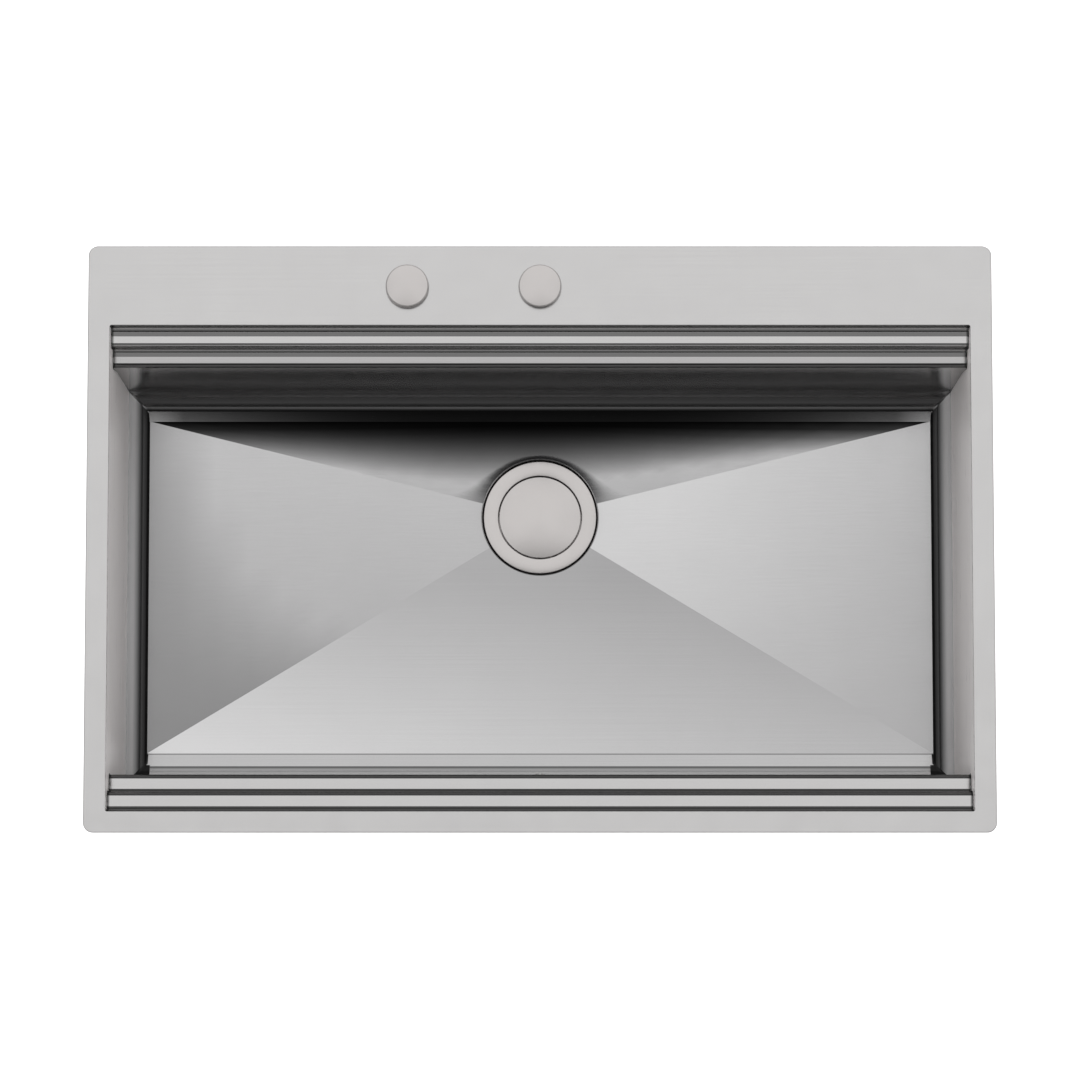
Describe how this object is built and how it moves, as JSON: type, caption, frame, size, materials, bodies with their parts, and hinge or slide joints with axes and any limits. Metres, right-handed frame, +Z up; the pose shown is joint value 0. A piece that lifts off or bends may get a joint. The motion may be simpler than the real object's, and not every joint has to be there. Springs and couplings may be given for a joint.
{
  "type": "workstation kitchen sink",
  "caption": "Inset steel kitchen sink with a wide flat deck, a deep bowl with stepped ledges front and rear, a floor of four falling faces, a pop-up basket waste and two round caps.",
  "frame": {"origin": "centre of the sink in plan, on the plane of the worktop's upper face that the rim seal rests on", "axes": "+X along the sink to the right, +Y to the rear deck with the two caps, +Z up out of the bowl"},
  "size_m": [0.786, 0.51, 0.3253],
  "materials": {
    "brushed_steel": "satin brushed stainless steel",
    "bright_steel": "fine turned stainless steel",
    "zinc_steel": "zinc-plated steel",
    "rubber": "matt black rubber",
    "grey_plastic": "dark moulded plastic",
    "pad": "matt bitumen sheet"
  },
  "bodies": {
    "sink": {"deck_plate": "brushed_steel", "rear_wall": "brushed_steel", "front_wall": "brushed_steel", "left_wall": "brushed_steel", "right_wall": "brushed_steel", "floor_pan": "brushed_steel", "rim_seal": "rubber", "tap_stiffener": "zinc_steel", "sound_pads": "pad", "strainer_ring": "bright_steel", "ring_gasket": "rubber", "body_gasket": "rubber", "waste_body": "grey_plastic", "waste_tail": "grey_plastic", "waste_spider": "grey_plastic", "lever_bracket": "grey_plastic", "centre_screw": "bright_steel", "lever_pivot": "bright_steel", "return_spring": "zinc_steel", "control_bush": "bright_steel", "control_gasket": "rubber", "control_nut": "zinc_steel", "control_cable": "rubber", "tap_hole_cover": "bright_steel", "tap_cover_seal": "rubber", "tap_cover_washer": "zinc_steel", "tap_cover_wing_nut": "zinc_steel", "overflow_plate": "bright_steel", "overflow_screw": "bright_steel", "overflow_gasket": "rubber", "overflow_elbow": "grey_plastic", "overflow_hose": "grey_plastic", "hose_clips": "zinc_steel", "clip_brackets": "zinc_steel", "clip_screws": "zinc_steel"},
    "button": {"control_cap": "bright_steel", "control_plunger": "grey_plastic"},
    "pin": {"lift_pin": "bright_steel"},
    "lever": {"lift_lever": "grey_plastic"},
    "basket": {"strainer_basket": "bright_steel", "plug_seal": "rubber"},
    "cover": {"drain_cover": "bright_steel"},
    "nut_1": {"clip_nut_1": "zinc_steel"},
    "nut_2": {"clip_nut_2": "zinc_steel"},
    "nut_3": {"clip_nut_3": "zinc_steel"},
    "nut_4": {"clip_nut_4": "zinc_steel"},
    "nut_5": {"clip_nut_5": "zinc_steel"},
    "nut_6": {"clip_nut_6": "zinc_steel"},
    "claw_1": {"clip_claw_1": "zinc_steel"},
    "claw_2": {"clip_claw_2": "zinc_steel"},
    "claw_3": {"clip_claw_3": "zinc_steel"},
    "claw_4": {"clip_claw_4": "zinc_steel"},
    "claw_5": {"clip_claw_5": "zinc_steel"},
    "claw_6": {"clip_claw_6": "zinc_steel"}
  },
  "joints": [
    {"name": "button_press", "type": "slide", "parent": "sink", "child": "button", "axis": [0, 0, -1], "range_m": [0, 0.004], "stiffness_N_per_m": 500, "springref_m": -0.012, "deforming": ["return_spring"]},
    {"name": "pin_lift", "type": "slide", "parent": "sink", "child": "pin", "axis": [0, 0, 1], "range_m": [0, 0.008]},
    {"name": "lever_turn", "type": "hinge", "parent": "sink", "child": "lever", "pos_m": [-0.032, 0.0388, -0.2591], "axis": [0, -1, 0], "range_deg": [0, 14.4]},
    {"name": "basket_lift", "type": "slide", "parent": "pin", "child": "basket", "axis": [0, 0, 1], "range_m": [0, 0.06]},
    {"name": "cover_lift", "type": "slide", "parent": "basket", "child": "cover", "axis": [0, 0, 1], "range_m": [0, 0.04]},
    {"name": "clip_climb_1", "type": "slide", "parent": "sink", "child": "nut_1", "axis": [0, 0, 1], "range_m": [0, 0.024]},
    {"name": "clip_climb_2", "type": "slide", "parent": "sink", "child": "nut_2", "axis": [0, 0, 1], "range_m": [0, 0.024]},
    {"name": "clip_climb_3", "type": "slide", "parent": "sink", "child": "nut_3", "axis": [0, 0, 1], "range_m": [0, 0.024]},
    {"name": "clip_climb_4", "type": "slide", "parent": "sink", "child": "nut_4", "axis": [0, 0, 1], "range_m": [0, 0.024]},
    {"name": "clip_climb_5", "type": "slide", "parent": "sink", "child": "nut_5", "axis": [0, 0, 1], "range_m": [0, 0.024]},
    {"name": "clip_climb_6", "type": "slide", "parent": "sink", "child": "nut_6", "axis": [0, 0, 1], "range_m": [0, 0.024]},
    {"name": "claw_swing_1", "type": "hinge", "parent": "nut_1", "child": "claw_1", "pos_m": [-0.29, -0.231, -0.0513], "axis": [0, 0, -1], "range_deg": [0, 90]},
    {"name": "claw_swing_2", "type": "hinge", "parent": "nut_2", "child": "claw_2", "pos_m": [0, -0.231, -0.0513], "axis": [0, 0, -1], "range_deg": [0, 90]},
    {"name": "claw_swing_3", "type": "hinge", "parent": "nut_3", "child": "claw_3", "pos_m": [0.29, -0.231, -0.0513], "axis": [0, 0, -1], "range_deg": [0, 90]},
    {"name": "claw_swing_4", "type": "hinge", "parent": "nut_4", "child": "claw_4", "pos_m": [-0.29, 0.233, -0.0513], "axis": [0, 0, 1], "range_deg": [0, 90]},
    {"name": "claw_swing_5", "type": "hinge", "parent": "nut_5", "child": "claw_5", "pos_m": [0.12, 0.233, -0.0513], "axis": [0, 0, 1], "range_deg": [0, 90]},
    {"name": "claw_swing_6", "type": "hinge", "parent": "nut_6", "child": "claw_6", "pos_m": [0.29, 0.233, -0.0513], "axis": [0, 0, 1], "range_deg": [0, 90]}
  ],
  "couplings": [
    {"joint": "pin_lift", "follows": "button_press", "ratio": 2},
    {"joint": "lever_turn", "follows": "button_press", "rad_per_m": 62.5}
  ]
}
